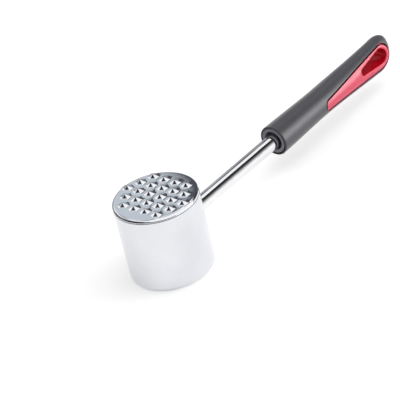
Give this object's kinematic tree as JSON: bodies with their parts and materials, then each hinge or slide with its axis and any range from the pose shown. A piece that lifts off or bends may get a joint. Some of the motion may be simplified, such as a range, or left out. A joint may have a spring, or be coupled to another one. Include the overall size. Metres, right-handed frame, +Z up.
{
  "type": "meat mallet",
  "caption": "Hand meat mallet: round polished metal head with a pyramid-toothed face and a smooth face, steel rod, soft dark grip with a red core and a hanging hole.",
  "frame": {"origin": "middle of the smooth striking face of the head", "axes": "+Z up the head's axis to the toothed face, +X along the handle to the grip's tip, Y across the handle"},
  "size_m": [0.2665, 0.054, 0.0554],
  "materials": {
    "head_metal": "mirror polished",
    "plate_metal": "mirror polished",
    "rod_steel": "mirror polished",
    "screw_steel": "plain",
    "washer_steel": "plain",
    "collar_plastic": "satin",
    "core_plastic": "semi-gloss",
    "grip_soft": "soft matte"
  },
  "bodies": {
    "root": {"head_shell": "head_metal", "toothed_plate": "plate_metal", "rod": "rod_steel", "rod_screw": "screw_steel", "lock_washer": "washer_steel", "front_collar": "collar_plastic", "grip_core": "core_plastic", "grip_shell": "grip_soft"}
  },
  "joints": []
}
